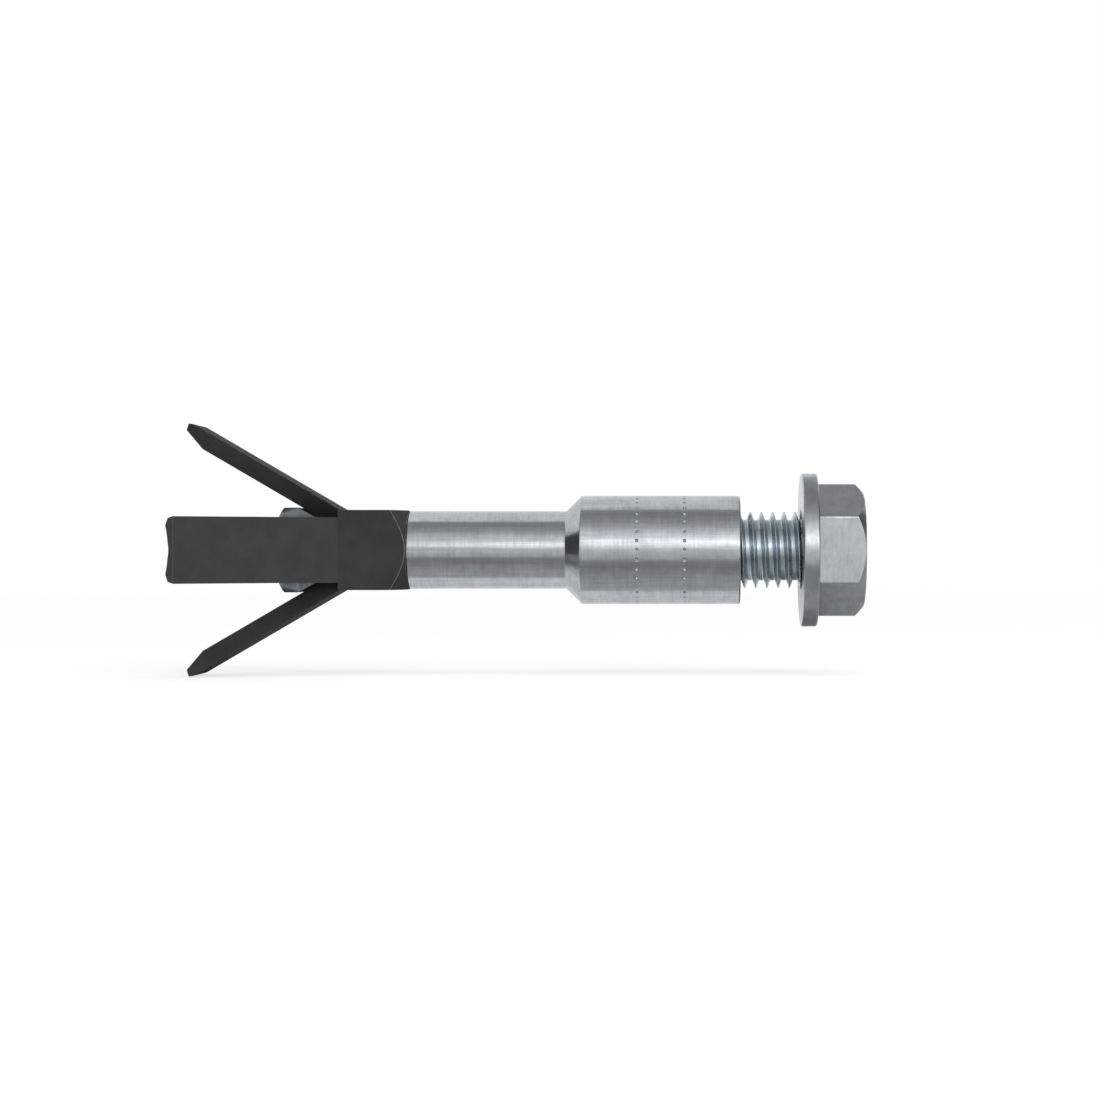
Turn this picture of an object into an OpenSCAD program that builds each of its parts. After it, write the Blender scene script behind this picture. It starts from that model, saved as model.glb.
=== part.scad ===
// Internally threaded anchor for aerated concrete, drawn as it is when set.
//
// A hexagon screw and its washer hold what is fastened against the mouth of the threaded sleeve. Turning that
// sleeve on a key has drawn the wedge bolt into the expansion sleeve and bent its four legs outwards.
//
// The axis is X and the origin is the centre of the threaded sleeve's mouth. +X points to the screw's head and
// +Z is up. Each piece is drawn upright, with its depth below the mouth as its height, and then laid along X.

/* [Screw and washer] */
// Thread diameter of the screw
screw_d = 12; // [10:0.5:14]
// Pitch of the screw's thread
screw_pitch = 1.75; // [1.25:0.25:2]
// Distance from the mouth, outwards, of a crest where it passes over the top
crest_place = 5.1; // [4:0.1:6]
// Length of the plain neck under the head
screw_neck_len = 1.6; // [1:0.1:2.4]
// Width of the screw's head across its flats
head_af = 18; // [17.5:0.5:24]
// Height of the screw's head
head_h = 7.3; // [5:0.1:10]
// Diameter of the flat circle on the head's end
head_face_d = 17.8; // [14:0.1:18]
// Slope of the chamfer on the head's corners, in degrees
head_chamfer = 42; // [20:1:45]
// Length of the chamfer at the screw's point
point_chamfer = 1.1; // [0.4:0.1:1.8]
// Outer diameter of the washer
washer_d = 24; // [20:0.5:36]
// Thickness of the washer
washer_t = 2.5; // [1.5:0.1:4]
// Free space round the screw inside the washer
washer_play = 0.5; // [0.2:0.05:1]
// Chamfer on the washer's rim
washer_chamfer = 0.25; // [0.1:0.05:0.6]
// Gap between the sleeve's mouth and the washer
clamp_gap = 9.5; // [3:0.5:25]

/* [Threaded sleeve] */
// Wall of the wide part, from the thread to the outside
wide_wall = 2.45; // [1.6:0.05:4]
// Length of the wide part
wide_len = 24.8; // [20:0.1:35]
// Length of the narrow part, with the shoulder
neck_len = 27; // [24:0.1:40]
// Wall of the narrow part
neck_wall = 2.05; // [1.8:0.05:3]
// Length of the wide part that is left behind the threaded bore
bore_floor = 3; // [2:0.5:6]
// Free depth of thread beyond the screw's point
end_room = 3.8; // [2:0.1:8]
// Depth of the hexagon socket for the setting key
socket_depth = 10; // [7:0.5:12]
// Chamfer round the outside of both ends
sleeve_chamfer = 0.3; // [0.1:0.05:0.6]
// Chamfer inside the mouth
mouth_chamfer = 0.6; // [0.2:0.1:1]
// Number of dimples in one ring round the sleeve
dimple_count = 36; // [12:1:48]
// Width of a dimple
dimple_d = 0.45; // [0.2:0.05:0.8]
// Depth of a dimple
dimple_depth = 0.2; // [0.1:0.05:0.5]
// Depth of the first ring of dimples below the mouth
ring_depth = 8.7; // [3:0.1:10]
// Distance between the two rings of dimples
ring_gap = 7.35; // [3:0.05:8]

/* [Expansion sleeve] */
// Width of the square collar across its flats
collar_w = 12.4; // [12:0.1:16]
// Length of the collar
collar_len = 10.4; // [6:0.1:16]
// Diameter of the round face left by the collar's chamfer
collar_face_d = 12.1; // [11:0.1:12.2]
// Slope of the collar's chamfer, in degrees
collar_chamfer = 42; // [30:1:50]
// Width of the four slots between the legs
slot_w = 1.6; // [1:0.1:2]
// Length of a leg beyond its bend
leg_len = 27.1; // [20:0.1:36]
// Angle by which a set leg has spread, in degrees
spread = 30.3; // [22:0.1:36]
// Distance from a leg's bend to the end of the slots
bend_lap = 0.2; // [0.1:0.05:0.5]
// Diameter of the countersink's mouth at the tips
lead_in_d = 12; // [10:0.1:12.2]
// Slope of the countersink at the tips, in degrees
lead_in_angle = 30; // [20:1:40]
// Length of the bevel across the outer flat at a leg's tip
tip_bevel = 0.72; // [0.4:0.02:1.5]
// Slope of that bevel, in degrees
tip_taper = 22; // [15:1:35]

/* [Wedge bolt] */
// Thread diameter of the bolt
bolt_d = 8; // [6:0.5:8]
// Width of the wedge across its flats
wedge_w = 13.1; // [11:0.1:16]
// Length of the wedge's straight sides
wedge_land = 2.25; // [1:0.05:5]
// Length of the chamfer at the wedge's end
wedge_end = 0.9; // [0.3:0.1:1.5]
// Depth of the chamfer at the wedge's end
wedge_bevel = 1.3; // [0.5:0.1:2]
// Slope of the wedge's turned corners, in degrees
wedge_taper = 11; // [4:0.5:15]
// How far the bolt stands in the socket when the anchor is set
bolt_rise = 6; // [3:0.5:6.5]
// Chamfer at the bolt's inner end
bolt_chamfer = 0.8; // [0.3:0.1:1.2]

/* [Fits] */
// Space between a thread and its nut thread, on the radius
thread_gap = 0.05; // [0.03:0.01:0.09]
// Space between the wedge and the legs
seat_gap = 0.05; // [0.03:0.01:0.2]
// Space between the socket and the largest size of key, on each side
key_gap = 0.1; // [0.06:0.01:0.2]

/* [Hidden] */
$fn = 96;
cut = 1; // how far a cutting shape stands clear of the face it cuts

// The screw, with depths measured inwards from the sleeve's mouth
screw_r = screw_d / 2;
washer_top = -clamp_gap - washer_t;
bore_depth = wide_len - bore_floor;
screw_depth = bore_depth - end_room;
head_top = washer_top - head_h;
head_corner_r = head_af / 2 / cos(30);

// The threaded sleeve
bore_r = screw_r + thread_gap;
sleeve_r = bore_r + wide_wall;
bolt_r = bolt_d / 2;
bolt_bore_r = bolt_r + thread_gap;
neck_r = bolt_bore_r + neck_wall;
shoulder_depth = wide_len + sleeve_r - neck_r;
sleeve_len = wide_len + neck_len;
socket_r = (bolt_r + key_gap) / cos(30);
socket_end = bore_depth + socket_depth;
floor_depth = bore_depth + (bore_r - socket_r) * tan(30);

// The expansion sleeve. A leg is a triangle of the square collar, cut off by two slots and by the bore
collar_half = collar_w / 2;
collar_end = sleeve_len + collar_len;
bend_depth = collar_end - bend_lap;
leg_root = 1; // how far a leg runs back into the collar
edge_offset = slot_w / sqrt(2);
leg_half_w = collar_half - edge_offset;
tip_depth = bend_depth + leg_len;

// Thickness of a leg at its two inner edges, where the slots meet the bore
edge_t = collar_half - (edge_offset + sqrt(2 * bolt_bore_r ^ 2 - edge_offset ^ 2)) / 2;

// The wedge's flanks run along those edges. Carried on inwards, they meet the axis at flank_depth
edge_start = collar_half - (edge_t + seat_gap) / cos(spread);
flank_depth = bend_depth - edge_start / tan(spread);
wedge_half = wedge_w / 2;
rim_depth = flank_depth + wedge_half / tan(spread);
bevel_depth = rim_depth + wedge_land;
bolt_end = bevel_depth + wedge_end;
bolt_start = socket_end - bolt_rise;
wedge_corner_r = wedge_half * sqrt(2);
clear_depth = collar_end + 2 * seat_gap;
corner_depth = clear_depth + wedge_corner_r - bolt_r;
wedge_turned_r = wedge_corner_r - (bolt_end - corner_depth) * tan(wedge_taper);

// The screw's thread as rows of points along helices. A pitch has four rows, at the two edges of its crest and
// the two edges of its root, each as [share of the pitch, radius]
thread_sides = 24;
crest_share = 1 / 16;
root_share = 3 / 8;
crest_r = screw_r - thread_gap / 2;
root_r = crest_r - (root_share - crest_share) * screw_pitch * tan(60);
turn_rows = [[-crest_share, crest_r], [crest_share, crest_r], [root_share, root_r], [1 - root_share, root_r]];
rod_lap = 0.4; // how far the threaded rod runs back into the neck
root_margin = 0.1; // how far the rod's plain start lies inside the root
neck_share = 0.4; // the neck's step inwards from the crests, as a share of the pitch
fade_len = 1; // length in which the thread grows out of the neck
rod_r = root_r - root_margin;
screw_neck_r = screw_r - screw_pitch * neck_share;
thread_start = washer_top + screw_neck_len;
rod_start = thread_start - rod_lap;
fade_start = thread_start + root_margin;
first_turn = floor((rod_start + crest_place) / screw_pitch) - 2;
last_turn = ceil((screw_depth + crest_place) / screw_pitch) + 1;
thread_rows = [for (t = [first_turn:last_turn], row = turn_rows) [t + row[0], row[1]]];

zinc = [0.60, 0.65, 0.68];
screw_zinc = [0.53, 0.57, 0.60];
coated = [0.25, 0.25, 0.25];

// Lays an upright piece along the axis, with its depth along -X and its +X side up
module along_axis() {
    rotate([0, -90, 0]) children();
}

// Turns a profile whose points are [radius, depth]
module turned(points) {
    rotate_extrude() polygon(points);
}

module threaded_sleeve() {
    color(zinc) along_axis() difference() {
        turned([
            [0, 0],
            [sleeve_r - sleeve_chamfer, 0],
            [sleeve_r, sleeve_chamfer],
            [sleeve_r, wide_len],
            [neck_r, shoulder_depth],
            [neck_r, sleeve_len - sleeve_chamfer],
            [neck_r - sleeve_chamfer, sleeve_len],
            [0, sleeve_len],
        ]);
        turned([
            [0, -cut],
            [bore_r + mouth_chamfer + cut, -cut],
            [bore_r, mouth_chamfer],
            [bore_r, bore_depth],
            [socket_r, floor_depth],
            [0, floor_depth],
        ]);
        translate([0, 0, bore_depth]) cylinder(r = socket_r, h = socket_depth, $fn = 6);
        translate([0, 0, bore_depth]) cylinder(r = bolt_bore_r, h = sleeve_len - bore_depth + cut);
        dimples();
    }
}

// Two rings of round dimples in the wide part
module dimples() {
    for (ring = [0, 1], i = [0:dimple_count - 1])
        rotate([0, 0, i * 360 / dimple_count])
            translate([sleeve_r, 0, ring_depth + ring * ring_gap])
                rotate([0, 90, 0])
                    cylinder(d = dimple_d, h = 2 * dimple_depth, center = true);
}

module expansion_sleeve() {
    color(coated) along_axis() difference() {
        union() {
            collar();
            for (i = [0:3]) rotate([0, 0, i * 90]) leg();
        }
        translate([0, 0, sleeve_len - cut]) cylinder(r = bolt_bore_r, h = collar_len + leg_len);
    }
}

module collar() {
    face_r = collar_face_d / 2;
    translate([0, 0, sleeve_len]) intersection() {
        translate([-collar_half, -collar_half, 0]) cube([collar_w, collar_w, collar_len]);
        cylinder(r1 = face_r, r2 = face_r + collar_len / tan(collar_chamfer), h = collar_len);
    }
}

// A leg's section, with the outer flat on the Y axis and the bore at [collar_half, 0]
module leg_section() {
    difference() {
        polygon([[0, -leg_half_w], [0, leg_half_w], [leg_half_w, 0]]);
        translate([collar_half, 0]) circle(r = bolt_bore_r);
    }
}

// One leg, on the +X side, bent outwards about a line across the collar's flat
module leg() {
    translate([collar_half, 0, bend_depth]) rotate([0, spread, 0])
        translate([-collar_half, 0, -bend_depth]) straight_leg();
}

// A leg as it was turned and sawn, before it was bent outwards
module straight_leg() {
    lead_in_r = lead_in_d / 2;
    apex_depth = tip_depth - lead_in_r / tan(lead_in_angle);
    difference() {
        translate([collar_half, 0, bend_depth - leg_root])
            linear_extrude(leg_root + leg_len) mirror([1, 0]) leg_section();
        turned([
            [0, apex_depth],
            [lead_in_r + cut * tan(lead_in_angle), tip_depth + cut],
            [0, tip_depth + cut],
        ]);
        translate([0, collar_half, 0]) rotate([90, 0, 0]) linear_extrude(collar_w) polygon([
            [collar_half + cut * tan(tip_taper), tip_depth - tip_bevel - cut],
            [collar_w, tip_depth - tip_bevel - cut],
            [collar_w, tip_depth + cut],
            [collar_half - (tip_bevel + cut) * tan(tip_taper), tip_depth + cut],
        ]);
    }
}

// The wedge seen across two of its flats, from inside the shank to its end
module wedge_outline() {
    inner = bolt_r / 2;
    start = flank_depth + inner / tan(spread);
    polygon([
        [-inner, start],
        [inner, start],
        [wedge_half, rim_depth],
        [wedge_half, bevel_depth],
        [wedge_half - wedge_bevel, bolt_end],
        [wedge_bevel - wedge_half, bolt_end],
        [-wedge_half, bevel_depth],
        [-wedge_half, rim_depth],
    ]);
}

// The wedge's outline as a bar that fills the width across the other two flats
module wedge_bar() {
    rotate([90, 0, 0]) translate([0, 0, -wedge_half]) linear_extrude(wedge_w) wedge_outline();
}

// A turned blank with a round shank, milled to four flats that slope with the legs
module wedge_bolt() {
    color(zinc) along_axis() intersection() {
        turned([
            [0, bolt_start],
            [bolt_r - bolt_chamfer, bolt_start],
            [bolt_r, bolt_start + bolt_chamfer],
            [bolt_r, clear_depth],
            [wedge_corner_r, corner_depth],
            [wedge_turned_r, bolt_end],
            [0, bolt_end],
        ]);
        union() {
            translate([0, 0, bolt_start]) cylinder(r = bolt_r, h = rim_depth - bolt_start);
            intersection() {
                wedge_bar();
                rotate([0, 0, 90]) wedge_bar();
            }
        }
    }
}

module washer() {
    rim_r = washer_d / 2;
    color(screw_zinc) along_axis() difference() {
        turned([
            [0, washer_top],
            [rim_r - washer_chamfer, washer_top],
            [rim_r, washer_top + washer_chamfer],
            [rim_r, washer_top + washer_t - washer_chamfer],
            [rim_r - washer_chamfer, washer_top + washer_t],
            [0, washer_top + washer_t],
        ]);
        translate([0, 0, washer_top - cut])
            cylinder(r = screw_r + washer_play, h = washer_t + 2 * cut);
    }
}

// Depth of a row of the thread on one of its sides
function row_depth(k, side) = (thread_rows[k][0] + side / thread_sides) * screw_pitch - crest_place;

// Radius of a row of the thread at a depth. It fades in after the neck and ends in the point's chamfer
function row_r(k, depth) =
    let (grown = min(max((depth - fade_start) / fade_len, 0), 1))
    min(rod_r + (thread_rows[k][1] - rod_r) * grown,
        screw_r - point_chamfer + screw_depth - depth);

function round_point(r, side, depth) =
    [r * cos(side * 360 / thread_sides), r * sin(side * 360 / thread_sides), depth];

// Index of a row's point on one side. Side thread_sides is side 0, one turn on. A point beyond an end gives way
// to that end's rim, and the rims come first in the list of points
function rod_index(k, side) =
    side == thread_sides ? rod_index(k + len(turn_rows), 0) :
    row_depth(k, side) <= rod_start ? side :
    row_depth(k, side) >= screw_depth ? thread_sides + side :
    (k + 2) * thread_sides + side;

// The threaded rod, from inside the neck to the point
module threaded_rod() {
    last = thread_sides - 1;
    points = concat(
        [for (side = [0:last]) round_point(rod_r, side, rod_start)],
        [for (side = [0:last]) round_point(screw_r - point_chamfer, side, screw_depth)],
        [for (k = [0:len(thread_rows) - 1], side = [0:last])
            round_point(row_r(k, row_depth(k, side)), side, row_depth(k, side))]
    );
    strips = [for (k = [0:len(thread_rows) - len(turn_rows) - 2], side = [0:last])
        let (
            a = rod_index(k, side),
            b = rod_index(k + 1, side),
            c = rod_index(k + 1, side + 1),
            d = rod_index(k, side + 1)
        )
        for (face = [[a, b, c], [a, c, d]])
            if (face[0] != face[1] && face[1] != face[2] && face[2] != face[0]) face];
    start_face = [for (side = [0:last]) side];
    point_face = [for (side = [last:-1:0]) thread_sides + side];
    polyhedron(points, concat(strips, [start_face, point_face]));
}

module hex_screw() {
    face_r = head_face_d / 2;
    chamfer_len = (head_corner_r - face_r) * tan(head_chamfer);
    color(screw_zinc) along_axis() {
        intersection() {
            translate([0, 0, head_top]) cylinder(r = head_corner_r, h = head_h, $fn = 6);
            turned([
                [0, head_top],
                [face_r, head_top],
                [head_corner_r, head_top + chamfer_len],
                [head_corner_r + cut, head_top + chamfer_len],
                [head_corner_r + cut, washer_top],
                [0, washer_top],
            ]);
        }
        translate([0, 0, washer_top - cut]) cylinder(r = screw_neck_r, h = screw_neck_len + cut);
        threaded_rod();
    }
}

threaded_sleeve();
expansion_sleeve();
wedge_bolt();
washer();
hex_screw();
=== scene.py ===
"""Looks of an internally threaded expansion anchor, shown as it is when set.

Lengths are in millimetres where no comment says otherwise, and are turned into metres where they are used.
The axis of every piece is X. x = 0 is the mouth of the threaded sleeve, and a depth counts from there inwards.
"""

import functools
import math

import bmesh
import bpy
import numpy as np
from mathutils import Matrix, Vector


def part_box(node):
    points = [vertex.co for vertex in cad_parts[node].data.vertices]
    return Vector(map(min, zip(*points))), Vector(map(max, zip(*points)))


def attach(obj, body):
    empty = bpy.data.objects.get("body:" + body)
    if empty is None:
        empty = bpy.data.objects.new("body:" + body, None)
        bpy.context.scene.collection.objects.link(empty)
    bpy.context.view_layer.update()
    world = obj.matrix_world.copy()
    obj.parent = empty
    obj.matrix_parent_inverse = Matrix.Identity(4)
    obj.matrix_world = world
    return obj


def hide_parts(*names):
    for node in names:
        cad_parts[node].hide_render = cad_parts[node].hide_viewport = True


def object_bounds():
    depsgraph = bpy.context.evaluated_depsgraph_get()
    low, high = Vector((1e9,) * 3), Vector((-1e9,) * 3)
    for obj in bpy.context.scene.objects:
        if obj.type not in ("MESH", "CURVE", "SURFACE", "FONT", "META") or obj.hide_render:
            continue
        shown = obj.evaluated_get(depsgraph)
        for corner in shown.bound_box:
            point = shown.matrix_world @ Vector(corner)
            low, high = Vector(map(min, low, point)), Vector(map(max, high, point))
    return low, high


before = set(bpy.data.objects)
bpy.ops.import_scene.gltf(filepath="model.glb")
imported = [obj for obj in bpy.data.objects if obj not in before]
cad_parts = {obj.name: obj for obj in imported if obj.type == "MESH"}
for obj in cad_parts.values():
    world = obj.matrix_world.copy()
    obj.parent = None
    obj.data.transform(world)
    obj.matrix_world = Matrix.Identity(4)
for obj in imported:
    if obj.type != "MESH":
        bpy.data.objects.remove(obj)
cad_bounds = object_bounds()

MM = 0.001

# The photograph's view, in pixels of its 1100 x 1100 frame
FRAME_PX = 1100
PX_PER_MM = 6.37            # at the anchor's axis
MOUTH_PX = 740              # where the sleeve's mouth, x = 0, shows
LEVEL_PX = 690              # where the line of sight is square to the axis
CAMERA_DISTANCE = 370       # from the axis
SENSOR = 36

# Screw
HEAD_AF = 18
HEAD_FACE_R = 8.9
HEAD_CHAMFER = math.radians(42)
HEAD_EDGE_R = 0.2
HEAD_SIDE_R = 1.2           # the slight curve where a side of the head meets its edge
HEAD_EDGE_TURN = 18         # degrees on either side of a corner that its tight curve takes
HEAD_TURNS = [-30, -26, -22, -18, -9, 0, 9, 18, 22, 26, 30]     # degrees of the points round a corner
HEAD_ROUNDING = 0.12
HEAD_SIDE_STEPS = 20
NECK_FILLET = 0.5
SCREW_PITCH = 1.75
SCREW_CREST_R = 5.97
SCREW_THREAD_DEPTH = 1.2
SCREW_RUNOUT = 1.4
CREST_AT_TOP = 5.1          # a crest's place along X where it passes over the top
SCREW_NECK_R = 5.3
SCREW_POINT_R = 4.85

# One half of a thread, from its crest to the middle of its root: [share of the pitch, share of the depth]
THREAD_HALF = [
    [0, 0], [0.03, 0], [0.05, 0.02], [0.065, 0.06], [0.27, 0.9], [0.29, 0.97], [0.32, 1], [0.41, 1], [0.5, 1],
]

# Washer
WASHER_HOLE_R = 6.5
WASHER_HOLE_ROUNDING = 0.15
WASHER_RIM_ROUNDING = 0.3
WASHER_COLUMNS = 240

# Threaded sleeve
SLEEVE_CORNER = 0.3
MOUTH_CHAMFER = 0.6
BORE_R = 6.05
WIDE_LEN = 24.8
NECK_R = 6.1
BORE_LEN = 21.8
SOCKET_LEN = 10
SOCKET_AF = 8.2
SOCKET_LEAD_IN = math.radians(30)
BOLT_BORE_R = 4.05
BOLT_BORE_BREAK = [0.2, 0.02]       # length and depth of the broken edge where this bore leaves the socket
RING_AT = [8.7, 16.05]
DIMPLES = 36
DIMPLE_R = 0.26
DIMPLE_DEPTH = 0.2
DIMPLE_ROWS = np.linspace(-1.15, 1.15, 10)      # rows of points across a dimple, in radii from its centre
SLEEVE_COLUMNS = 720

# Expansion sleeve
COLLAR_END = 62.2           # depth of the collar's end face
ARC_BEFORE_END = 5          # edges that lie this far before the end face belong to the collar's turned arc
AT_END = 0.3                # edges this near to the end face are its own
LEG_WEAR_AND_HIGHLIGHT = 0.2              # how much the legs' edges are lightened, by rubbing and a painted edge highlight, where the collar's count as 1
SLEEVE_ROUNDING = 0.13

# Wedge bolt
BOLT_PITCH = 1.25
BOLT_R = 4
BOLT_CREST_R = 3.97
BOLT_THREAD_DEPTH = 0.8
BOLT_THREAD_LEN = 26
BOLT_RUNOUT = 1.2
BOLT_CHAMFER = 0.8
BOLT_JOIN = 57              # depth at which the turned shank meets the milled head
BOLT_COLUMNS = 144
WEDGE_ROUNDING = 0.12

# Copies of the solids: points this near become one, faces this flat become one, sharper edges are rounded
WELD = 0.002
FLAT = math.radians(0.5)
ROUNDED_FROM = math.radians(20)

# Edges that turn by more degrees than this are shaded sharp
SHARP_TURNED = 35
SHARP_MILLED = 40

# Most of a noise lies between these. Tones, which are sums of noises, are used from -TONE to TONE
NOISE = (0.3, 0.7)
TONE = 0.8

# Colours are linear. Roughness: [at a tone's or noise's low end, at its high end]. Bumps: [height, strength]
GALVANISED_DARK = (0.36, 0.39, 0.42)
GALVANISED_LIGHT = (0.58, 0.61, 0.64)
GALVANISED_ROUGH = [0.26, 0.12]
GALVANISED_BUMP = [0.01, 0.6]
COAT_DARK = (0.039, 0.039, 0.0395)
COAT_LIGHT = (0.049, 0.049, 0.0495)
# The next colour lightens the rounded edges: partly rubbed wear, partly a painted edge highlight.
COAT_RUBBED_AND_HIGHLIGHT = (0.24, 0.235, 0.23)
COAT_LEGS_PAINTED_LIGHT = 1.17         # painted light: how much lighter the coating is painted beyond the bend, standing in for light that falls on the tilted legs
COAT_ROUGH = [0.85, 0.95]
COAT_SPECULAR = 0.1
COAT_BUMP = [0.006, 0.5]
BEND_BLEND = 0.1            # half the length over which the coating changes there
SCREW_ZINC = {"dark": (0.39, 0.42, 0.445), "light": (0.525, 0.56, 0.58), "rough": 0.24}
# Painted light: the screw's zinc below the washer is painted lighter and bluer, standing in for light that its
# thread's grooves lose.
SHANK_PAINTED_LIGHT = (1.1, 1.16, 1.2)
SHANK_BLEND = 0.1
WASHER_ZINC = {"dark": (0.41, 0.44, 0.465), "light": (0.55, 0.585, 0.605), "rough": 0.22}
# Painted shade: the wedge bolt's zinc is painted darker, as the shade of its recess between the legs.
BOLT_ZINC_PAINTED_SHADE = {"dark": (0.17, 0.2, 0.225), "light": (0.24, 0.28, 0.31), "rough": 0.3}
ZINC_ROUGH = [0.07, -0.05]  # what is added to a zinc's own roughness
ZINC_BUMP = [0.005, 0.5]

# Strip lights: [angle round X in degrees from the front, upwards positive; brightness]
STRIPS = [
    [-180, 1.00], [-12, 0.60], [-3, 0.72], [4, 1.05], [10, 1.70], [17, 2.35], [24, 1.50], [36, 1.05],
    [50, 0.60], [64, 0.43], [80, 0.33], [122, 0.38], [140, 0.60], [156, 0.85], [180, 1.00],
]
BRIGHTEST = 2.4             # no strip is brighter

# How the strips change with the direction's part along X: [from, to, factor at from, factor at to]
STRIPS_RIGHT = [0.5, 1, 1, 0.7]
STRIPS_LEFT = [-0.88, -0.94, 1, 0.12]
GAP_AT = 0.84               # a dark gap, which the chamfer of the head reflects
STRIPS_OFF_GAP = [0.07, 0.12, 0.25, 1]
SHOULDER = [-0.05, -0.085, 0, 1]        # past it the low strips are dimmed
SHOULDER_LEVEL = 0.58
LOW_STRIPS = [math.radians(30), math.radians(45), 1, 0]
FROM_RIGHT = 0.7            # how much more light falls on matt faces from the right

# Floor. Each span is [from, to, level at from, level at to]. FRONT, NEAR and BACK run along Y, the rest along X
FLOOR_SIDE = 6              # metres
FLOOR_GAP = 0.1             # below the lowest leg
FLOOR_COLOUR = (0.4, 0.4, 0.4)
FRONT_LEVEL = [-300, -56, 0.48, 0.29]
FRONT_END = [-56, -53, 1, 0]
NEAR_LEVEL = [-30, -10, 0, 0.2]
NEAR_WASHER = [-7, -5, 1, 0]
BACK_LEVEL = [-5, -3, 0, 0.43]
BACK_SCREW = [30, 50, 0, 1]
OFF_WEDGE = [-85, -54, 0, 1]
OFF_SCREW = [1, 3, 1, 0]
HALF_OFF_SCREW = [1, 3, 1, 0.5]
PAST_WASHER = [12.5, 13.5, 0, 1]
SEEN_LEVEL = [200, 1500, 0.7, 0.84]     # by the distance from the sleeve's mouth
BOUNCED_LEVEL = 0.35

# White card
CARD_X = [-130, 1]
CARD_Y = [-2.4, 75]
CARD_Z = 40
CARD_LEVEL = 0.9

# Lamp, in metres, degrees and watts
LAMP_SIZE = [0.8, 0.5]
LAMP_AT = (0.2, -0.4, 0.65)
LAMP_TURN = (32, 20, 0)
LAMP_POWER = 3


def rounded(corners, steps=4):
    """The outline through [a, b, rounding] corners. Each corner that has a rounding becomes an arc."""
    points = [np.array(corner[:2], float) for corner in corners]
    out = []
    for i, (p, corner) in enumerate(zip(points, corners)):
        radius = corner[2]
        if not radius:
            out.append(p)
            continue
        to_last = points[i - 1] - p
        to_next = points[(i + 1) % len(points)] - p
        to_last /= np.linalg.norm(to_last)
        to_next /= np.linalg.norm(to_next)
        half = math.acos(np.clip(to_last @ to_next, -1, 1)) / 2
        middle = (to_last + to_next) / np.linalg.norm(to_last + to_next)
        centre = p + middle * radius / math.sin(half)
        start = p + to_last * radius / math.tan(half) - centre
        sweep = math.pi - 2 * half
        side = -math.copysign(1, start[0] * to_last[1] - start[1] * to_last[0])
        for k in range(steps + 1):
            a = side * sweep * k / steps
            turn = np.array([[math.cos(a), -math.sin(a)], [math.sin(a), math.cos(a)]])
            out.append(centre + turn @ start)
    return out


def circle(columns):
    """Angles of the columns of a round surface."""
    return np.arange(columns) * math.tau / columns


class Skin:
    """A surface round the X axis. It is made of rings that have one point in each column."""

    def __init__(self, angles):
        self.angles = np.array(angles)
        self.points = []
        self.faces = []

    def ring(self, x, r):
        """A new ring. x and r are one value for all columns, or one for each."""
        n = len(self.angles)
        x = np.broadcast_to(np.asarray(x, float), (n,))
        r = np.broadcast_to(np.asarray(r, float), (n,))
        first = len(self.points)
        self.points.extend(zip(x * MM, r * np.cos(self.angles) * MM, r * np.sin(self.angles) * MM))
        return list(range(first, first + n))

    def pole(self, x):
        """A point on the axis, which closes the surface there."""
        self.points.append((x * MM, 0, 0))
        return [len(self.points) - 1] * len(self.angles)

    def face(self, corners):
        kept = [c for i, c in enumerate(corners) if c != corners[i - 1]]
        if len(set(kept)) > 2:
            self.faces.append(kept)

    def join(self, a, b):
        for j in range(len(a)):
            k = (j + 1) % len(a)
            self.face([a[j], a[k], b[k], b[j]])

    def run(self, rings):
        for a, b in zip(rings, rings[1:]):
            self.join(a, b)

    def thread(self, low, high, x_low, x_high, pitch, crest_at, profile, limit):
        """A right-hand thread from the ring low to the ring high.

        A crest passes the column at angle 0 at crest_at. profile lists [share of the pitch, radius] over one
        pitch, and limit changes a radius near the ends.
        """
        first_turn = math.floor((x_low - crest_at) / pitch) - 2
        turns = range(first_turn, first_turn + math.ceil((x_high - x_low) / pitch) + 4)
        rows = []
        for share, r in [(turn + s, r) for turn in turns for s, r in profile]:
            row = []
            for j, angle in enumerate(self.angles):
                x = crest_at + pitch * (share + angle / math.tau)
                if x <= x_low:
                    row.append(low[j])
                elif x >= x_high:
                    row.append(high[j])
                else:
                    radius = limit(x, r)
                    row.append(len(self.points))
                    self.points.append(
                        (x * MM, radius * math.cos(angle) * MM, radius * math.sin(angle) * MM)
                    )
            rows.append(row)
        last = len(self.angles) - 1
        for k in range(len(rows) - 1):
            for j in range(last):
                self.face([rows[k][j], rows[k][j + 1], rows[k + 1][j + 1], rows[k + 1][j]])
            a_turn_on = (k + len(profile), k + len(profile) + 1)
            after = [rows[i][0] if i < len(rows) else high[0] for i in a_turn_on]
            self.face([rows[k][last], *after, rows[k + 1][last]])

    def mesh(self, name):
        mesh = bpy.data.meshes.new(name)
        mesh.from_pydata([tuple(p) for p in self.points], [], self.faces)
        return mesh

    def object(self, name):
        return finished(name, self.mesh(name))


def drop_loose_points(bm):
    bmesh.ops.delete(bm, geom=[v for v in bm.verts if not v.link_faces], context="VERTS")


def mesh_of(bm, name):
    mesh = bpy.data.meshes.new(name)
    bm.to_mesh(mesh)
    bm.free()
    return mesh


def placed(name, data):
    """A new object with the data, in the scene."""
    obj = bpy.data.objects.new(name, data)
    bpy.context.scene.collection.objects.link(obj)
    return obj


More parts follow.
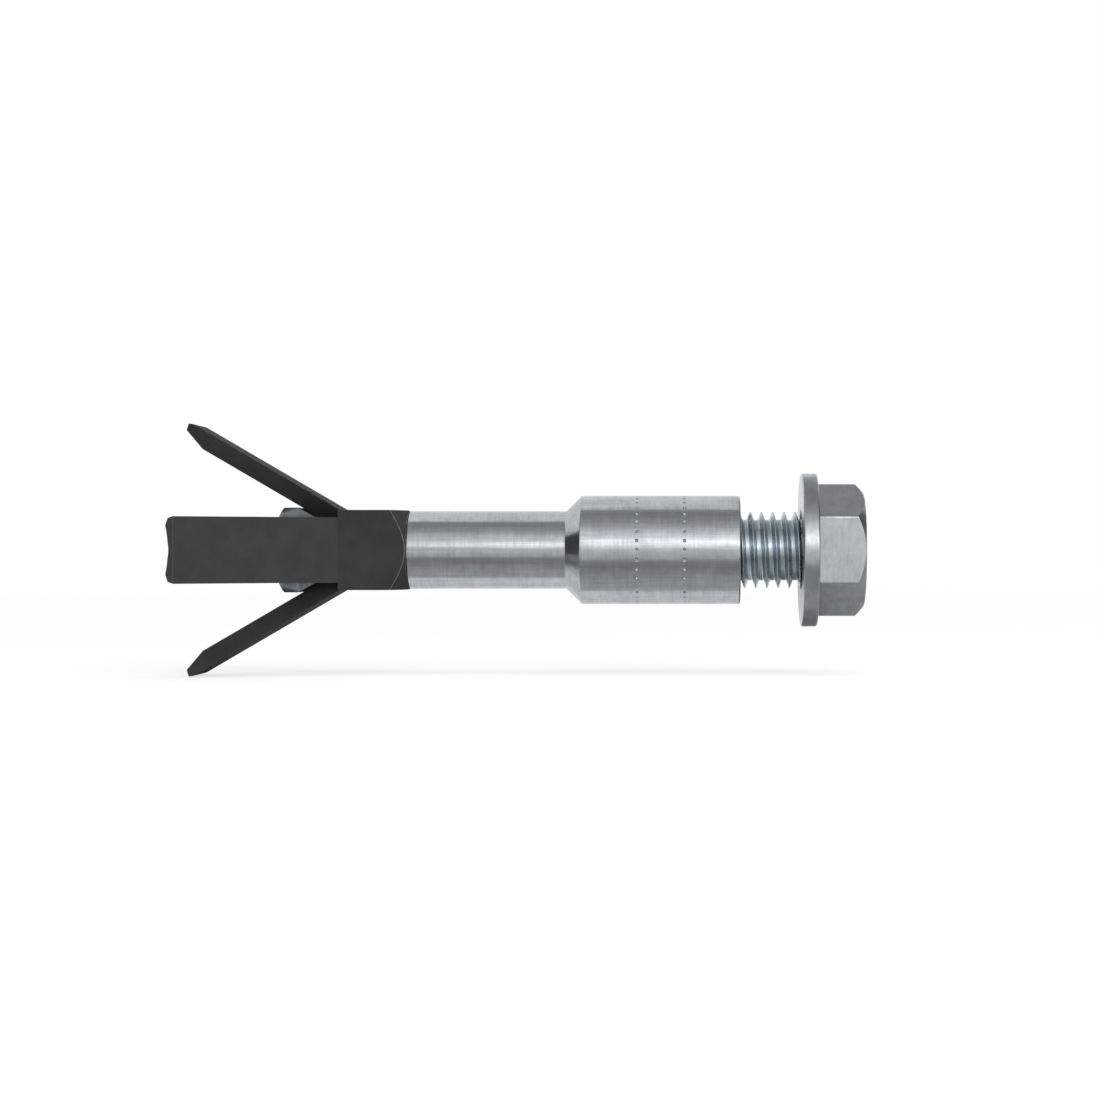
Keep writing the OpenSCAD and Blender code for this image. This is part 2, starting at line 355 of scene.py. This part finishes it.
def finished(name, mesh, sharp=SHARP_TURNED):
    """An object with outward normals, smooth shading and flat faces that stay flat up to their edges."""
    bm = bmesh.new()
    bm.from_mesh(mesh)
    drop_loose_points(bm)
    bmesh.ops.recalc_face_normals(bm, faces=bm.faces)
    bm.to_mesh(mesh)
    bm.free()
    mesh.shade_smooth()
    mesh.set_sharp_from_angle(angle=math.radians(sharp))
    obj = placed(name, mesh)
    weighted = obj.modifiers.new("weighted normals", "WEIGHTED_NORMAL")
    weighted.keep_sharp = True
    weighted.weight = 100
    return obj


def thread_profile(crest_r, depth):
    """One pitch of a thread from crest to crest, with narrow crests and a wide root between fillets."""
    down = [[share, crest_r - depth * part] for share, part in THREAD_HALF]
    up = [[1 - share, r] for share, r in reversed(down[1:-1])]
    return down + up


def direction(angle):
    """The unit vector at this angle."""
    return np.array([math.cos(angle), math.sin(angle)])


def hexagon_columns(af):
    """Angle and radius of points round a hexagon with one corner at the top.

    Its edges are rounded by a tight curve between two wide ones, which lie next to the sides.
    """
    arcs = []
    for i in range(6):
        corner = math.radians(30 + 60 * i)
        arc = [np.zeros(2)]
        for t0, t1 in zip(HEAD_TURNS, HEAD_TURNS[1:]):
            radius = HEAD_EDGE_R if abs(t0 + t1) / 2 < HEAD_EDGE_TURN else HEAD_SIDE_R
            step = direction(corner + math.radians(t1)) - direction(corner + math.radians(t0))
            arc.append(arc[-1] + radius * step)
        outward, side = direction(corner), direction(corner - math.radians(30))
        start = -arc[-1] / 2
        start = start + outward * (af / 2 - start @ side) / (outward @ side)
        arcs.append([start + p for p in arc])
    outline = []
    for arc, following in zip(arcs, arcs[1:] + arcs[:1]):
        outline += arc
        for k in range(1, HEAD_SIDE_STEPS):
            outline.append(arc[-1] + (following[0] - arc[-1]) * k / HEAD_SIDE_STEPS)
    found = sorted((math.atan2(z, y) % math.tau, math.hypot(y, z)) for y, z in outline)
    return np.array([a for a, r in found]), np.array([r for a, r in found])


def make_screw():
    """Hexagon screw: a forged head with a turned chamfer, a short neck and a thread down to its point."""
    low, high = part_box("hex_screw")
    point_x, top = low.x / MM, high.x / MM
    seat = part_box("washer")[1].x / MM
    neck_x = seat - 2 * NECK_FILLET
    angles, outline = hexagon_columns(HEAD_AF)
    skin = Skin(angles)
    columns = []
    for r in outline:
        chamfer_x = top - (r - HEAD_FACE_R) * math.tan(HEAD_CHAMFER)
        columns.append(rounded([
            [SCREW_NECK_R, neck_x, 0],
            [SCREW_NECK_R, seat, NECK_FILLET],
            [r, seat, HEAD_ROUNDING],
            [r, chamfer_x, HEAD_ROUNDING],
            [HEAD_FACE_R, top, HEAD_ROUNDING],
            [HEAD_FACE_R / 2, top, 0],
        ]))
    rings = [skin.ring([x for r, x in row], [r for r, x in row]) for row in zip(*columns)]
    skin.run(rings + [skin.pole(top)])

    point = skin.ring(point_x, SCREW_POINT_R)
    skin.run([point, skin.pole(point_x)])

    def limit(x, r):
        r = min(r, SCREW_POINT_R + (x - point_x))
        fade = np.clip((x - (neck_x - SCREW_RUNOUT)) / SCREW_RUNOUT, 0, 1)
        return r + (SCREW_NECK_R - r) * fade

    profile = thread_profile(SCREW_CREST_R, SCREW_THREAD_DEPTH)
    crest_at = CREST_AT_TOP - SCREW_PITCH / 4
    skin.thread(point, rings[0], point_x, neck_x, SCREW_PITCH, crest_at, profile, limit)
    return skin.object("screw_with_thread")


def make_washer():
    """Plain punched washer."""
    low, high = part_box("washer")
    x0, x1, rim = low.x / MM, high.x / MM, high.y / MM
    skin = Skin(circle(WASHER_COLUMNS))
    outline = rounded([
        [WASHER_HOLE_R, x0, WASHER_HOLE_ROUNDING],
        [rim, x0, WASHER_RIM_ROUNDING],
        [rim, x1, WASHER_RIM_ROUNDING],
        [WASHER_HOLE_R, x1, WASHER_HOLE_ROUNDING],
    ])
    rings = [skin.ring(x, r) for r, x in outline]
    skin.run(rings + rings[:1])
    return skin.object("washer_disc")


def make_sleeve():
    """Turned sleeve in two diameters, with two rings of dimples and a hexagon socket behind its thread."""
    low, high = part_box("threaded_sleeve")
    end, wide_r = low.x / MM, high.y / MM
    angles = circle(SLEEVE_COLUMNS)
    skin = Skin(angles)
    shoulder = WIDE_LEN + wide_r - NECK_R
    outside = rounded([
        [BORE_R, -MOUTH_CHAMFER, 0.1],
        [BORE_R + MOUTH_CHAMFER, 0, 0.08],
        [wide_r, 0, SLEEVE_CORNER],
        [wide_r, -WIDE_LEN, 0.35],
        [NECK_R, -shoulder, 0.25],
        [NECK_R, end, SLEEVE_CORNER],
        [BOLT_BORE_R, end, 0.1],
    ])
    rows = [(x, np.full(SLEEVE_COLUMNS, r)) for r, x in outside]
    from_dimple = (np.degrees(angles) + 180 / DIMPLES) % (360 / DIMPLES) - 180 / DIMPLES
    across = np.radians(from_dimple) * wide_r
    dimple_rows = []
    for ring_at in RING_AT:
        for along in DIMPLE_ROWS * DIMPLE_R:
            depth = DIMPLE_DEPTH * np.clip(1 - (across ** 2 + along ** 2) / DIMPLE_R ** 2, 0, None)
            dimple_rows.append((-ring_at + along, wide_r - depth))
    after = next(i for i, (r, x) in enumerate(outside) if x < -min(RING_AT))
    rows[after:after] = sorted(dimple_rows, key=lambda row: -row[0])

    from_corner = (np.degrees(angles) - 90) % 60 - 30
    socket_r = SOCKET_AF / 2 / np.cos(np.radians(from_corner))
    socket_end = -BORE_LEN - SOCKET_LEN
    rows += [
        (socket_end - BOLT_BORE_BREAK[0], BOLT_BORE_R),
        (socket_end, BOLT_BORE_R + BOLT_BORE_BREAK[1]),
        (socket_end, socket_r),
        (-BORE_LEN - (BORE_R - socket_r) * math.tan(SOCKET_LEAD_IN), socket_r),
        (-BORE_LEN, BORE_R),
    ]
    rings = [skin.ring(x, r) for x, r in rows]
    skin.run(rings + rings[:1])
    return skin.object("sleeve_with_dimples")


def cad_copy(node, x_max=None):
    """The node's mesh, welded and with its flat faces whole. x_max cuts off what lies beyond it."""
    bm = bmesh.new()
    bm.from_mesh(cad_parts[node].data)
    bmesh.ops.remove_doubles(bm, verts=bm.verts, dist=WELD * MM)
    bmesh.ops.dissolve_limit(bm, angle_limit=FLAT, verts=bm.verts, edges=bm.edges)
    if x_max is not None:
        bmesh.ops.bisect_plane(
            bm,
            geom=bm.verts[:] + bm.edges[:] + bm.faces[:],
            plane_co=(x_max * MM, 0, 0),
            plane_no=(1, 0, 0),
            clear_outer=True,
        )
    return bm


def bevel_edges(bm, width):
    """Rounds each outward edge, and gives the new faces."""
    bmesh.ops.recalc_face_normals(bm, faces=bm.faces)
    shared = [e for e in bm.edges if len(e.link_faces) == 2]
    made = bmesh.ops.bevel(
        bm,
        geom=[e for e in shared if e.is_convex and e.calc_face_angle() > ROUNDED_FROM],
        offset=width * MM,
        offset_type="OFFSET",
        segments=2,
        profile=0.5,
        affect="EDGES",
        clamp_overlap=True,
    )
    return made["faces"]


def make_expander():
    """Expansion sleeve: square collar and four spread legs. A face layer marks the rounded edges, which the
    coating paints lighter as rubbed wear and a painted edge highlight.
    """
    bm = cad_copy("expansion_sleeve")
    wear_and_highlight = bm.faces.layers.float.new("wear_and_highlight")
    for f in bevel_edges(bm, SLEEVE_ROUNDING):
        depth = -f.calc_center_median().x / MM
        on_collar = depth < COLLAR_END - ARC_BEFORE_END or abs(depth - COLLAR_END) < AT_END
        f[wear_and_highlight] = 1 if on_collar else LEG_WEAR_AND_HIGHLIGHT
    return finished("collar_with_legs", mesh_of(bm, "expander"), SHARP_MILLED)


def make_wedge():
    """Wedge bolt: a milled head that tapers between the legs, on a threaded shank."""
    bm = cad_copy("wedge_bolt", x_max=-BOLT_JOIN)
    bevel_edges(bm, WEDGE_ROUNDING)
    mesh = mesh_of(bm, "wedge head")

    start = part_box("wedge_bolt")[1].x / MM
    thread_end = start - BOLT_THREAD_LEN
    skin = Skin(circle(BOLT_COLUMNS))
    first = skin.ring(start, BOLT_R - BOLT_CHAMFER)
    last = skin.ring(thread_end, BOLT_R)
    skin.run([skin.pole(start), first])
    skin.run([last, skin.ring(-BOLT_JOIN, BOLT_R)])

    def limit(x, r):
        r = min(r, BOLT_R - BOLT_CHAMFER + (start - x))
        fade = np.clip((thread_end + BOLT_RUNOUT - x) / BOLT_RUNOUT, 0, 1)
        return r + (BOLT_R - r) * fade

    profile = thread_profile(BOLT_CREST_R, BOLT_THREAD_DEPTH)
    skin.thread(last, first, thread_end, start, BOLT_PITCH, start, profile, limit)

    bm = bmesh.new()
    bm.from_mesh(mesh)
    bm.from_mesh(skin.mesh("wedge shank"))
    drop_loose_points(bm)
    bmesh.ops.bridge_loops(bm, edges=[e for e in bm.edges if len(e.link_faces) == 1])
    bm.to_mesh(mesh)
    bm.free()
    return finished("wedge_with_shank", mesh, SHARP_MILLED)


class Nodes:
    """The nodes of a material or world, added one line at a time."""

    def __init__(self, tree):
        self.tree = tree

    def add(self, kind, inputs=(), **settings):
        node = self.tree.nodes.new(kind)
        for key, value in settings.items():
            setattr(node, key, value)
        for key, value in dict(inputs).items():
            self.set(node.inputs[key], value)
        return node

    def set(self, socket, value):
        if isinstance(value, bpy.types.NodeSocket):
            self.tree.links.new(value, socket)
        else:
            socket.default_value = value

    def split(self, vector):
        return self.add("ShaderNodeSeparateXYZ", {0: vector}).outputs

    def span(self, value, low, high, to_low=0.0, to_high=1.0):
        """value from low to high, carried over to to_low to to_high."""
        node = self.add(
            "ShaderNodeMapRange",
            {"Value": value, "From Min": low, "From Max": high, "To Min": to_low, "To Max": to_high},
        )
        return node.outputs["Result"]

    def math(self, operation, a, b=0.0):
        return self.add("ShaderNodeMath", {0: a, 1: b}, operation=operation).outputs[0]

    def total(self, *values):
        return functools.reduce(lambda a, b: self.math("ADD", a, b), values)

    def product(self, *values):
        return functools.reduce(lambda a, b: self.math("MULTIPLY", a, b), values)

    def largest(self, *values):
        return functools.reduce(lambda a, b: self.math("MAXIMUM", a, b), values)

    def tint(self, colour, factor):
        """The colour times a factor, which is a colour or a value."""
        return self.add("ShaderNodeVectorMath", {0: colour, 1: factor}, operation="MULTIPLY").outputs[0]

    def mix(self, share, a, b):
        """The colour that lies a share of the way from a to b."""
        node = self.add("ShaderNodeMix", data_type="RGBA")
        colours = [s for s in node.inputs if s.type == "RGBA"]
        self.set(next(s for s in node.inputs if s.name == "Factor" and s.type == "VALUE"), share)
        for socket, value in zip(colours, (a, b)):
            self.set(socket, value if isinstance(value, bpy.types.NodeSocket) else (*value, 1))
        return next(s for s in node.outputs if s.type == "RGBA")


class Shader(Nodes):
    """A material round one principled shader."""

    def __init__(self, name):
        self.material = bpy.data.materials.new(name)
        self.material.use_nodes = True
        super().__init__(self.material.node_tree)
        self.bsdf = self.tree.nodes["Principled BSDF"]
        self.place = self.add("ShaderNodeTexCoord").outputs["Object"]

    def noise(self, scale, detail=3, roughness=0.5, stretch=(1, 1, 1), seed=0):
        """Noise from 0 to 1. scale counts its features in a metre, and stretch multiplies it on each axis."""
        mapping = self.add(
            "ShaderNodeMapping", {"Vector": self.place, "Scale": stretch, "Location": (seed, 0, 0)}
        )
        node = self.add(
            "ShaderNodeTexNoise",
            {"Vector": mapping.outputs[0], "Scale": scale, "Detail": detail, "Roughness": roughness},
        )
        return node.outputs["Fac"]

    def swing(self, noise, amount):
        """The noise as a swing of this amount to either side of 0."""
        return self.span(noise, *NOISE, -amount, amount)

    def graded(self, tone, dark=0.0, light=1.0):
        """The tone, carried over to a value for its dark end and one for its light end."""
        return self.span(tone, -TONE, TONE, dark, light)

    def bump(self, height, distance, strength):
        inputs = {"Height": height, "Distance": distance * MM, "Strength": strength}
        return self.add("ShaderNodeBump", inputs).outputs[0]

    def finish(self, colour, roughness, normal, metallic=1.0):
        self.set(self.bsdf.inputs["Base Color"], colour)
        self.set(self.bsdf.inputs["Roughness"], roughness)
        self.set(self.bsdf.inputs["Metallic"], metallic)
        self.set(self.bsdf.inputs["Normal"], normal)
        return self.material

    def glow(self, colour, strength):
        """A matt colour without highlights, which also gives off white light."""
        self.set(self.bsdf.inputs["Base Color"], (*colour, 1))
        self.set(self.bsdf.inputs["Specular IOR Level"], 0.0)
        self.set(self.bsdf.inputs["Emission Color"], (1, 1, 1, 1))
        self.set(self.bsdf.inputs["Emission Strength"], strength)
        return self.material


def galvanised_steel():
    """Drawn tube with a zinc coat: streaks along the axis, faint marks across it and cloudy patches."""
    s = Shader("galvanised sleeve")
    streaks = s.noise(1, detail=5, roughness=0.65, stretch=(90, 3200, 3200))
    clouds = s.noise(420, detail=4, roughness=0.6, seed=3)
    grain = s.noise(5200, detail=2, seed=7)
    marks = s.noise(1, detail=4, roughness=0.65, stretch=(3000, 240, 240), seed=11)
    tone = s.total(s.swing(streaks, 0.36), s.swing(clouds, 0.36), s.swing(marks, 0.28))
    colour = s.mix(s.graded(tone), GALVANISED_DARK, GALVANISED_LIGHT)
    height = s.total(s.product(streaks, 0.6), s.product(grain, 0.3), s.product(marks, 0.3))
    return s.finish(colour, s.graded(tone, *GALVANISED_ROUGH), s.bump(height, *GALVANISED_BUMP))


def coated_steel():
    """Matt dark coating, lighter along the rounded edges from rubbing and a painted edge highlight, and painted
    lighter all over the legs as light that falls on them.
    """
    s = Shader("dark coating")
    clouds = s.noise(300, detail=4, roughness=0.6)
    grain = s.noise(9000, detail=3, roughness=0.6, seed=5)
    patches = s.noise(900, detail=4, roughness=0.7, seed=9)
    # Painted light: beyond the bend the legs are painted lighter than the collar.
    bend = [(side * BEND_BLEND - COLLAR_END) * MM for side in (-1, 1)]
    legs_painted_light = s.span(s.split(s.place)[0], *bend, COAT_LEGS_PAINTED_LIGHT, 1)
    colour = s.tint(s.mix(s.span(clouds, *NOISE), COAT_DARK, COAT_LIGHT), legs_painted_light)
    # Rounded edges lighter: partly rubbed wear, partly a painted edge highlight.
    wear_and_highlight = s.add("ShaderNodeAttribute", attribute_name="wear_and_highlight").outputs["Fac"]
    colour = s.mix(s.product(wear_and_highlight, s.span(patches, 0.35, 0.65, 0.5, 1)), colour, COAT_RUBBED_AND_HIGHLIGHT)
    s.set(s.bsdf.inputs["Specular IOR Level"], COAT_SPECULAR)
    return s.finish(colour, s.span(grain, *NOISE, *COAT_ROUGH), s.bump(grain, *COAT_BUMP), metallic=0.0)


def zinc_plate(name, dark, light, rough, shank=None):
    """Bright zinc plating with cloudy patches and fine scratches. shank is a tint below the washer: painted
    light that makes the thread lighter and bluer than the head.
    """
    s = Shader(name)
    clouds = s.noise(520, detail=5, roughness=0.62)
    scratches = s.noise(1, detail=3, roughness=0.6, stretch=(2600, 500, 500), seed=4)
    grain = s.noise(7000, detail=2, seed=8)
    tone = s.total(s.swing(clouds, 0.6), s.swing(scratches, 0.4))
    colour = s.mix(s.graded(tone), dark, light)
    if shank is not None:
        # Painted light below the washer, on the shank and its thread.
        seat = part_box("washer")[0].x
        past_seat = s.span(s.split(s.place)[0], seat, seat + SHANK_BLEND * MM)
        colour = s.mix(past_seat, s.tint(colour, shank), colour)
    roughness = s.graded(tone, *(rough + change for change in ZINC_ROUGH))
    return s.finish(colour, roughness, s.bump(grain, *ZINC_BUMP))


def dress(piece, body, node, material):
    """Puts the piece on its body, in its node's place and under its material."""
    piece.data.materials.clear()
    piece.data.materials.append(material)
    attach(piece, body)
    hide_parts(node)


screw_zinc = zinc_plate("screw zinc", shank=SHANK_PAINTED_LIGHT, **SCREW_ZINC)
washer_zinc = zinc_plate("washer zinc", **WASHER_ZINC)
bolt_zinc_painted_shade = zinc_plate("bolt zinc, painted shade", **BOLT_ZINC_PAINTED_SHADE)
dress(make_screw(), "screw", "hex_screw", screw_zinc)
dress(make_washer(), "washer", "washer", washer_zinc)
dress(make_sleeve(), "sleeve", "threaded_sleeve", galvanised_steel())
dress(make_expander(), "expander", "expansion_sleeve", coated_steel())
dress(make_wedge(), "wedge", "wedge_bolt", bolt_zinc_painted_shade)


def make_camera():
    """A level camera, as in the photograph. The shift brings the whole anchor into its frame."""
    data = bpy.data.cameras.new("camera")
    camera = placed("camera", data)
    camera.location = ((LEVEL_PX - MOUTH_PX) / PX_PER_MM * MM, -CAMERA_DISTANCE * MM, 0)
    camera.rotation_euler = (math.pi / 2, 0, 0)
    data.sensor_width = SENSOR
    data.lens = SENSOR * CAMERA_DISTANCE / (FRAME_PX / PX_PER_MM)
    data.shift_x = (FRAME_PX / 2 - LEVEL_PX) / FRAME_PX
    data.clip_start = 0.01
    data.clip_end = 20
    bpy.context.scene.camera = camera


def make_world():
    """A studio of long strip lights that lie along the anchor. The camera sees plain white there."""
    world = bpy.data.worlds.new("studio")
    bpy.context.scene.world = world
    world.use_nodes = True
    n = Nodes(world.node_tree)
    n.tree.nodes.clear()
    x, y, z = n.split(n.add("ShaderNodeTexCoord").outputs["Generated"])
    angle = n.math("ARCTAN2", z, n.product(y, -1))
    ramp = n.add("ShaderNodeValToRGB", {"Fac": n.span(angle, -math.pi, math.pi)})
    elements = ramp.color_ramp.elements
    while len(elements) < len(STRIPS):
        elements.new(0.5)
    for element, (degrees, value) in zip(elements, STRIPS):
        element.position = (degrees + 180) / 360
        element.color = (*[value / BRIGHTEST] * 3, 1)

    from_gap = n.math("ABSOLUTE", n.math("SUBTRACT", x, GAP_AT))
    low_strips = n.span(n.math("ABSOLUTE", angle), *LOW_STRIPS)
    past_shoulder = n.product(n.span(x, *SHOULDER), low_strips)
    path = n.add("ShaderNodeLightPath").outputs
    level = n.product(
        n.span(x, *STRIPS_RIGHT),
        n.span(x, *STRIPS_LEFT),
        n.span(from_gap, *STRIPS_OFF_GAP),
        n.span(past_shoulder, 0, 1, 1, SHOULDER_LEVEL),
        n.total(n.product(path["Is Diffuse Ray"], x, FROM_RIGHT), 1),
        BRIGHTEST,
    )
    light = n.add("ShaderNodeVectorMath", {0: ramp.outputs["Color"]}, operation="SCALE")
    n.set(light.inputs["Scale"], level)
    straight = n.largest(path["Is Camera Ray"], path["Is Transmission Ray"])
    background = n.add("ShaderNodeBackground", {"Color": n.mix(straight, light.outputs[0], (1, 1, 1))})
    output = n.add("ShaderNodeOutputWorld")
    n.tree.links.new(background.outputs[0], output.inputs[0])


def make_floor():
    """A pale floor just under the lowest leg. The camera sees it white where no shadow falls.

    Reflections show it in three bands: well before the anchor, near it, and behind its axis. Below the
    wedge, the screw and the washer they are darker.
    """
    half = FLOOR_SIDE / 2
    z = cad_bounds[0].z - FLOOR_GAP * MM
    mesh = bpy.data.meshes.new("floor")
    corners = [(-half, -half, z), (half, -half, z), (half, half, z), (-half, half, z)]
    mesh.from_pydata(corners, [], [(0, 1, 2, 3)])
    floor = placed("floor", mesh)
    s = Shader("pale floor")
    s.set(s.bsdf.inputs["Roughness"], 1.0)
    along, across, _ = s.split(s.place)

    def level(place, bounds):
        low, high, to_low, to_high = bounds
        return s.span(place, low * MM, high * MM, to_low, to_high)

    off_wedge = level(along, OFF_WEDGE)
    off_screw = level(along, OFF_SCREW)
    off_washer = s.largest(level(across, NEAR_WASHER), level(along, PAST_WASHER), off_screw)
    before = s.product(level(across, FRONT_LEVEL), level(across, FRONT_END))
    near = s.product(level(across, NEAR_LEVEL), level(along, HALF_OFF_SCREW), off_wedge, off_washer)
    behind = s.product(level(across, BACK_LEVEL), s.largest(off_screw, level(across, BACK_SCREW)), off_wedge)

    path = s.add("ShaderNodeLightPath").outputs
    away = s.add("ShaderNodeVectorMath", {0: s.place}, operation="LENGTH").outputs["Value"]
    seen = s.product(s.largest(path["Is Camera Ray"], path["Is Transmission Ray"]), level(away, SEEN_LEVEL))
    reflected = s.product(path["Is Glossy Ray"], s.total(before, near, behind))
    bounced = s.product(path["Is Diffuse Ray"], BOUNCED_LEVEL)
    mesh.materials.append(s.glow(FLOOR_COLOUR, s.total(seen, reflected, bounced)))


def make_card():
    """A white card above the anchor and behind it, which only reflections show. It brightens the upper rims."""
    (x0, x1), (y0, y1), z = np.array(CARD_X) * MM, np.array(CARD_Y) * MM, CARD_Z * MM
    mesh = bpy.data.meshes.new("white card")
    mesh.from_pydata([(x0, y0, z), (x0, y1, z), (x1, y1, z), (x1, y0, z)], [], [(0, 1, 2, 3)])
    card = placed("white card", mesh)
    card.visible_camera = False
    card.visible_diffuse = False
    card.visible_shadow = False
    card.visible_transmission = False
    mesh.materials.append(Shader("white card").glow((0, 0, 0), CARD_LEVEL))


def make_lamp():
    """A large soft lamp above and in front of the anchor."""
    data = bpy.data.lights.new("soft lamp", "AREA")
    data.shape = "RECTANGLE"
    data.size, data.size_y = LAMP_SIZE
    data.energy = LAMP_POWER
    lamp = placed("soft lamp", data)
    lamp.location = LAMP_AT
    lamp.rotation_euler = [math.radians(turn) for turn in LAMP_TURN]
    lamp.visible_glossy = False


make_camera()
make_world()
make_floor()
make_card()
make_lamp()
bpy.context.scene.view_settings.view_transform = "Standard"
